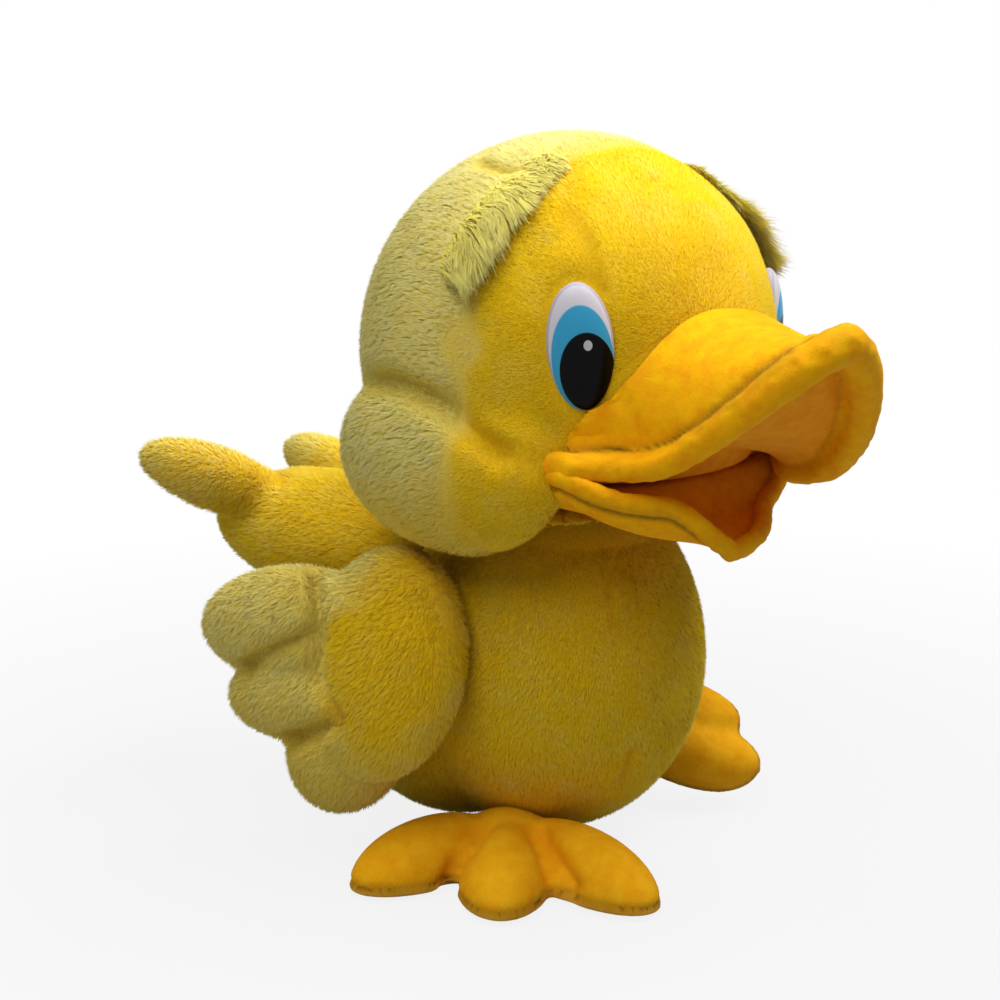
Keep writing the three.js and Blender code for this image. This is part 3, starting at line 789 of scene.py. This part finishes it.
print("eyes")
for side, label in bothSides:
    bpy.ops.mesh.primitive_uv_sphere_add(segments=eye["segments"], ring_count=eye["rings"], radius=1)
    plate = bpy.context.active_object
    plate.name = f"eye_{label}Dome"
    plate.data.name = plate.name
    bpy.ops.object.mode_set(mode="EDIT")
    bpy.ops.mesh.select_all(action="SELECT")
    bpy.ops.transform.resize(value=[size / 2 for size in eye["size"]])
    # The back is cut flat, a lip is inset round it, and the stem is pushed out of its middle
    bpy.ops.mesh.bisect(plane_co=(0, eye["backCut"], 0), plane_no=(0, 1, 0), clear_outer=True, use_fill=True)
    bpy.ops.mesh.inset(thickness=eye["lip"])
    bpy.ops.mesh.extrude_region_move(TRANSFORM_OT_translate={"value": (0, eye["stem"], 0)})
    bpy.ops.mesh.normals_make_consistent(inside=False)
    bpy.ops.object.mode_set(mode="OBJECT")
    plate.data.uv_layers[0].name = "OFBake"
    for loop in plate.data.loops:
        x, _, z = plate.data.vertices[loop.vertex_index].co
        plate.data.uv_layers[0].data[loop.index].uv = (x / eye["size"][0] + 0.5, z / eye["size"][2] + 0.5)
    plate.data.transform(Matrix.Scale(mm, 4) @ eyePlace(side))
    plate.data.materials.append(eyeMaterial(f"mouldedAcrylic_{label}", side))
    finished(plate, "head", "eye_plastic", f"eye_{label}")
    clad(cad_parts[f"eye_{label}_washer"], materials["washer"])


print("head pile")
facePile = {
    "perSquareMm": 3.8, "length": 2.5, "width": 0.6, "lean": 69, "ruffle": 5, "wander": 16, "stray": 0.3,
    "tuft": 3.4, "draw": 0.16, "sunk": 0.5, "parts": 1, "soft": 0.9, "shade": 0.75, "seed": 11,
}
sidePile = dict(facePile, perSquareMm=3, length=3.9, width=0.58, lean=68, ruffle=7, wander=8, stray=0.22,
                tuft=4, draw=0.3, soft=0.8)


def headComb(places):  # away from the bill, over the crown and down the cheeks and the back
    local = inHead(places)
    return (unit(local - [0, -125, 5]) - np.outer(1.3 * ease(local[:, 1], -30, 70), [0, 0, 1])) @ headTurn.T


def sideShare(places):
    return ease(inHead(places)[:, 1] + drift(places, 14, 3)[:, 0] * 3, *head["panel"])


def paleShare(places):  # the sides are pale, and turn yellow again low on the cheeks
    return 0.15 + 0.85 * ease(inHead(places)[:, 2] + drift(places, 14, 4)[:, 0] * 4, *head["pale"])


def headTrim(places):
    local = inHead(places)
    trims = np.ones(len(places))
    for side in (-1, 1):
        spot = inEye(places, side)
        reach, front = np.hypot(spot[:, 0], spot[:, 2]), spot[:, 1] < eye["front"]
        trims = np.where((reach < eye["bare"]) & front, 0, trims)
        trims = np.where((reach < eye["sparse"]) & front & (trims > 0), 0.65, trims)
    # None under the bills, in the mouth and round the neck
    root, neck = head["billRoot"], head["neck"]
    above = np.maximum(local[:, 2] - root["middle"], 0) / root["height"]
    below = np.minimum(local[:, 2] - root["foot"], 0) / root["depth"]
    covered = np.hypot(local[:, 0] / root["halfWidth"], above + below) < 0.98
    covered &= local[:, 1] < root["front"]
    covered |= (np.linalg.norm(places[:, :2], axis=1) < neck["radius"]) & (places[:, 2] < neck["top"])
    return np.where(covered, 0, trims)


headSkin.data.materials.append(materials["backing"])
headSkin.data.materials.append(materials["bill"])  # in the mouth
places = placesOf(headSkin)
setWeights(headSkin, "lining", np.ones(len(places)))
setWeights(headSkin, "pale", sideShare(places) * paleShare(places) * 0.85)
middles = inHead(np.array([polygon.center for polygon in headSkin.data.polygons]) / mm)
mouth = head["mouth"]
inMouth = (np.abs(middles[:, 0]) < mouth["halfWidth"]) & (middles[:, 1] < mouth["front"])
inMouth &= (middles[:, 2] > mouth["low"]) & (middles[:, 2] < mouth["high"])
headSkin.data.polygons.foreach_set("material_index", inMouth.astype(int))
finished(headSkin, "head", "plush_yellow", "head_cover", "head_stuffing", "neck_stuffing", fill=0.9)
grownPile("facePile", headSkin, facePile, headComb, lambda p: 0.06 + sideShare(p) * 0.75 * paleShare(p),
          lambda p: headTrim(p) * (1 - sideShare(p)), "head")
for side, label in bothSides:
    grownPile(f"sidePile_{label}", headSkin, dict(sidePile, seed=12 + side), headComb,
              lambda p: 0.16 + sideShare(p) * 0.62 * paleShare(p),
              lambda p: headTrim(p) * sideShare(p) * (inHead(p)[:, 0] * side > 0), "head")

print("brows")
brow = {
    "ends": {-1: ((52, 56), (71, 27)), 1: ((46, 50), (60, 24))},  # azimuth and rise of each
    "comb": {-1: (0.35, -1, -1), 1: (-0.35, -1, -0.5)},
    "width": 15, "edge": 9, "pushBack": 9, "tint": 0.3,
    "look": dict(facePile, perSquareMm=3.6, length=20, width=0.45, lean=77, ruffle=9, wander=8, stray=0.35,
                 tuft=5, draw=0.3, parts=2, soft=0.97, shade=0, seed=21),
}
for side, label in bothSides:
    ends = [np.array(onDome(side, *end, 0)) for end in brow["ends"][side]]
    shares = np.linspace(0, 1, 12)[:, None]
    line = unit(ends[0] * (1 - shares) + ends[1] * shares + [0, head["forward"], 0]) * head["size"][0] / 2
    line = moved(line + [0, brow["pushBack"] - head["forward"], 0], headPlace)

    def browShare(places):  # 0 at the inner end of the brow, 1 at its outer end
        return np.clip((line[0, 2] - places[:, 2]) / (line[0, 2] - line[-1, 2]), 0, 1)

    def browComb(places):
        across, ahead, up = brow["comb"][side]
        rows = np.array([across, ahead, 0]) + np.outer(0.2 + 1.3 * browShare(places), [0, 0, up])
        return rows @ headTurn.T

    def browTrim(places):
        beside = 1 - ease(fromLine(places, line), brow["width"] - brow["edge"], brow["width"])
        return beside * (0.4 + 0.6 * ease(browShare(places), 0, 0.7))

    browPiece = grownPile(f"brow_{label}Pile", headSkin, brow["look"], browComb,
                          lambda p: np.full(len(p), brow["tint"]), browTrim, "head", "browPile")
    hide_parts(f"brow_{label}")


print("torso pile")
bodyPile = dict(facePile, perSquareMm=2.1, length=3.2, width=0.72, lean=62, seed=31)


def insideHead(places, margin):  # deeper in it than the margin
    local = inHead(places)
    x, y, z = head["cheekPlace"]
    inside = np.zeros(len(places), bool)
    for size, middle in (("size", (0, -head["forward"], 0)), ("cheek", (-x, y, z)), ("cheek", (x, y, z))):
        inside |= np.linalg.norm((local - middle) / (np.array(head[size]) / 2 - margin), axis=1) < 1
    return inside


finished(torsoSkin, "torso", "plush_yellow", "torso_cover", "torso_stuffing", "pellet_pouch",
         cloth="backing", fill=0.8)
grownPile("torsoPile", torsoSkin, bodyPile, lambda p: np.tile((0, 0.15, -1), (len(p), 1)),
          lambda p: np.full(len(p), 0.1),
          lambda p: np.where(insideHead(p, 4) | (p[:, 2] < 1.5), 0, 1) * ease(p[:, 2], -4, 9),
          "torso")


print("wings")
wing = {
    "length": 147, "height": 136, "thickness": 50, "centreX": 91, "frontY": -4, "bottomZ": 25,
    "palm": {"along": 0.3, "up": 0.57, "length": 0.57, "height": 0.83, "thickness": 1.08, "lean": 18},
    "fingers": [  # start and end along and up, then width
        ((0.28, 0.72), (1.01, 0.6), 0.43),
        ((0.25, 0.47), (0.91, 0.36), 0.37),
        ((0.3, 0.5), (0.59, 0.015), 0.46),
    ],
    "creases": [  # lines seen in the photograph
        [(315, 560), (315, 632), (314, 675), (330, 712)],
        [(314, 637), (280, 647), (237, 670)],
        [(335, 715), (317, 730), (285, 742)],
    ],
    "creaseDepth": 8, "creaseWidth": 4.5, "voxel": 2.4,
    "yellow": {"along": 32, "up": 86, "halfLength": 30, "halfHeight": 46},  # the palm's patch that isn't pale
}
wingPile = dict(sidePile, perSquareMm=2, seed=41)


def wingForms(side, inset):
    length, height, thickness, palm = wing["length"], wing["height"], wing["thickness"], wing["palm"]

    def at(along, up):
        return (side * wing["centreX"], wing["frontY"] + length * along, wing["bottomZ"] + height * up)

    size = (thickness * palm["thickness"], length * palm["length"], height * palm["height"])
    lean = Matrix.Rotation(math.radians(-side * palm["lean"]), 4, "Y")  # the body pushes its foot out
    forms = [addBall([s - 2 * inset for s in size], Matrix.Translation(at(palm["along"], palm["up"])) @ lean)]
    for start, end, width in wing["fingers"]:
        forms.append(addLobe(at(*start), at(*end), height * width, thickness, (side, 0, 0), inset))
    return forms


def wingPale(places):
    patch = wing["yellow"]
    along = (places[:, 1] - (wing["frontY"] + patch["along"])) / patch["halfLength"]
    up = (places[:, 2] - (wing["bottomZ"] + patch["up"])) / patch["halfHeight"]
    low = 0.55 + 0.45 * ease(places[:, 2], 40, 110)
    return 0.04 + 0.66 * low * ease(np.hypot(along, up) + drift(places, 12, 7)[:, 0] * 0.15, 0.7, 1.3)


wingCreases = None
for side, label in bothSides:  # the right wing is the one that the photograph shows
    skin = merged(f"wing_{label}Skin", wingForms(side, torso["pileRoom"]), wing["voxel"], 4)
    cutAway(skin, addTorso("torsoCutter", 0))
    remeshed(skin, wing["voxel"], 3)
    if wingCreases is None:
        wingCreases = [seenOn(skin, line) for line in wing["creases"]]
    for line in wingCreases:
        pressed(skin, line * [-side, 1, 1], wing["creaseDepth"], wing["creaseWidth"])
    finished(skin, None, "plush_pale", f"wing_{label}_cover", f"wing_{label}_stuffing",
             cloth="backing", fill=0.6)
    setWeights(skin, "pale", wingPale(placesOf(skin)))
    pile = grownPile(f"wing_{label}Pile", skin, dict(wingPile, seed=41 + side),
                     lambda p: np.tile((0, 0.5, -0.8), (len(p), 1)), wingPale,
                     lambda p: np.where(np.hypot(p[:, 0], p[:, 1]) < torso["radius"] - 1, 0, 1))
    for piece in (skin, pile):
        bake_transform(piece)


print("tail")
tail = {
    "root": (0, 48, 127), "tip": (0, 200, 143), "width": 84, "height": 69,
    "feathers": [((-8, 148, 149), (-68, 202, 185)), ((30, 104, 147), (68, 206, 166))],
    "featherWidth": 34, "featherThickness": 38, "seam": (0, 59.5, 150), "voxel": 2.6,
    "crease": [(280, 466), (281, 474), (283, 483)], "creaseDepth": 2, "creaseWidth": 3,
    "paleAndLitBehind": (145, 175), "paleAndLitAbove": (150, 170), "hidden": 60,  # no pile as near to the torso's axis
}
tailPile = dict(sidePile, perSquareMm=2, length=3.8, draw=0.35, seed=51)
lobes = [(tail["root"], tail["tip"], tail["width"], tail["height"])]
lobes += [(start, end, tail["featherWidth"], tail["featherThickness"]) for start, end in tail["feathers"]]
forms = [addLobe(*lobe, (0, 0, 1), torso["pileRoom"]) for lobe in lobes]
tailSkin = merged("tailSkin", forms, tail["voxel"], 3)
cutAway(tailSkin, addTorso("torsoCutter", 0))
remeshed(tailSkin, tail["voxel"], 3)
pressed(tailSkin, seenOn(tailSkin, tail["crease"]), tail["creaseDepth"], tail["creaseWidth"])
finished(tailSkin, None, "plush_yellow", "tail_cover", "tail_stuffing", cloth="backing", fill=0.7)
# The pile turns paler towards the tail's upper back end: partly paler pile, partly painted light on the tip
tailPiece = grownPile(
    "tailPile", tailSkin, tailPile, lambda p: p * [0.006, 0, 0] + [0, 1, -0.2],
    lambda p: 0.12 + 0.4 * ease(p[:, 1], *tail["paleAndLitBehind"]) * ease(p[:, 2], *tail["paleAndLitAbove"]),
    lambda p: np.where(np.hypot(p[:, 0], p[:, 1]) < tail["hidden"], 0, 1))
for piece in (tailSkin, tailPiece):
    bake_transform(piece)


print("feet")
foot = {
    "height": 28, "toeLength": 89, "toeWidth": 45, "heelLength": 46, "heelWidth": 56, "innerEdge": 20,
    "widestAt": 3.5, "lift": 0.4, "soleSeam": 6, "seamDepth": 1.3, "seamWidth": 1.3, "voxel": 1.9,
    "creases": ([(483, 828), (464, 857), (450, 882)], [(537, 831), (553, 860), (570, 887)]),
    "pressing": ((6, 5, "fold"), (2, 2.6, "seam")),
}
feet = [
    # Each toe's length in shares, and its turn from the foot's heading
    {"name": "right", "side": -1, "heel": (46, 0), "heading": 65, "lean": 0,
     "toes": [(1.1, -44), (0.92, 0), (0.99, 51)]},
    {"name": "left", "side": 1, "heel": (56, 14), "heading": 33, "lean": 63, "raise": 0.5, "heelLift": 22,
     "toes": [(1.14, -17), (1.04, -2), (0.82, 14)]},
]
for spec in feet:
    name, side, heading, (heelX, heelY) = spec["name"], spec["side"], spec["heading"], spec["heel"]

    def reach(length, angle):
        turn = math.radians(angle)
        return (side * (heelX + length * math.sin(turn)), heelY - length * math.cos(turn), foot["height"] / 2)

    lobes = [(reach(-foot["heelLength"] / 4, heading), reach(foot["heelLength"], heading), foot["heelWidth"])]
    for length, turn in spec["toes"]:
        end = reach(foot["toeLength"] * length, heading + turn)
        lobes.append((reach(0, heading), end, foot["toeWidth"]))
    forms = [addLobe(*lobe, foot["height"], (0, 0, 1)) for lobe in lobes]
    skin = merged(f"foot_{name}Skin", forms, foot["voxel"], 4)
    places = placesOf(skin)
    # A flat sole under a domed top: the widest line lies low
    half, widest, low = foot["height"] / 2, foot["widestAt"], places[:, 2]
    domed = widest + (low - half) * (foot["height"] - widest) / half
    places[:, 2] = np.maximum(np.where(low < half, low * widest / half, domed), foot["lift"])
    setPlaces(skin, places)
    low, normals = places[:, 2], normalsOf(skin)
    sewn = np.exp(-((low - foot["soleSeam"]) / foot["seamWidth"]) ** 2)
    places -= normals * (sewn * foot["seamDepth"] * (np.abs(normals[:, 2]) < 0.9))[:, None]
    setPlaces(skin, places)
    setWeights(skin, "seam", sewn)
    setWeights(skin, "lining", 1 - ease(low, foot["soleSeam"] - 1, foot["soleSeam"] + 0.6))
    if spec["lean"]:  # up on its inner edge
        inner = heading + spec["toes"][0][1]
        edge = reach(foot["innerEdge"], inner - 90)
        axis = Vector(reach(1, inner)) - Vector(reach(0, inner))
        turn = Matrix.Rotation(math.radians(side * spec["lean"]), 4, axis)
        pivot = Matrix.Translation((edge[0], edge[1], 0))
        places = moved(placesOf(skin), pivot @ turn @ pivot.inverted())
        places[:, 2] += spec["raise"] - places[:, 2].min()
        ahead = unit(np.array(reach(1, heading)) - reach(0, heading))
        along = (places - reach(0, heading)) @ ahead
        places[:, 2] += spec["heelLift"] * (1 - ease(along, 0, foot["toeLength"]))
        setPlaces(skin, places)
    else:
        for line in foot["creases"]:  # between the toes: a soft fold, and a stitched seam at its foot
            crease = seenOn(skin, line)
            for depth, width, mark in foot["pressing"]:
                pressed(skin, crease, depth, width, mark)
    finished(skin, f"foot_{name}", "velour_amber", f"foot_{name}_cover", f"foot_{name}_stuffing",
             f"foot_{name}_sole", cloth="foot", fill=0.7)


print("floor and light")
studio = {
    "floor": 4, "ambient": 0.14, "aim": (0, 0, 0.16),  # metres, as the lamps are
    "paleFrom": 0.25, "paleTo": 0.7, "palest": 0.86,  # the paper is a little darker near the duck
    "key": {"place": (0.4, -0.6, 1.6), "size": 0.8, "power": 21},
    "fill": {"place": (-1.2, -0.1, 1.5), "size": 0.9, "power": 11},
    "top": {"place": (-0.2, 0.2, 1.7), "size": 1.0, "power": 10},
}


def seenRays(tree):  # 1 for what the camera sees, straight or in a reflection
    path = addNode(tree, "LightPath")
    return addMath(tree, "MAXIMUM", None, {0: (path, "Is Camera Ray"), 1: (path, "Is Glossy Ray")})


bpy.ops.mesh.primitive_plane_add(size=studio["floor"])
floor = bpy.context.active_object
floor.name = "floor"
paper, tree = newMaterial("palePaper")
tone = addRamp(tree, addNoise(tree, Scale=400), (0.3, "#A8A8A8"), (0.7, "#AEAEAE"))
matt = addNode(tree, "BsdfPrincipled", values={"Roughness": 0.9, "Specular IOR Level": 0.1},
               links={"Base Color": tone})
white = addNode(tree, "Emission", values={"Strength": 1})
spot = addNode(tree, "TexCoord")
away = addNode(tree, "VectorMath", {"operation": "LENGTH"}, links={0: (spot, "Object")})
fade = addNode(tree, "MapRange", links={"Value": (away, "Value")}, values={
    "From Min": studio["paleFrom"], "From Max": studio["paleTo"], "To Min": studio["palest"], "To Max": 1})
share = addMath(tree, "MULTIPLY", None, {0: seenRays(tree), 1: (fade, 0)})
mix = addNode(tree, "MixShader", links={0: share, 1: (matt, "BSDF"), 2: (white, "Emission")})
addNode(tree, "OutputMaterial", links={"Surface": (mix, "Shader")})
floor.data.materials.append(paper)

world = bpy.data.worlds.new("studio")
bpy.context.scene.world = world
world.use_nodes = True
world.node_tree.nodes.clear()
tree = world.node_tree
path = addNode(tree, "LightPath")
shown = addMath(tree, "MAXIMUM", None, {0: seenRays(tree), 1: (path, "Is Transmission Ray")})
strength = addNode(tree, "Mix", {"data_type": "FLOAT"}, {2: studio["ambient"], 3: 1}, {0: shown})
light = addNode(tree, "Background", values={"Color": (1, 1, 1, 1)}, links={"Strength": (strength, 0)})
addNode(tree, "OutputWorld", links={"Surface": (light, "Background")})

for name in ("key", "fill", "top"):
    lamp = studio[name]
    place = Vector(lamp["place"])
    aim = Vector(studio["aim"]) - place
    bpy.ops.object.light_add(type="AREA", location=place, rotation=aim.to_track_quat("-Z", "Y").to_euler())
    made = bpy.context.active_object
    made.name = name
    made.data.size = lamp["size"]
    made.data.energy = lamp["power"]
bpy.context.scene.view_settings.view_transform = "Standard"
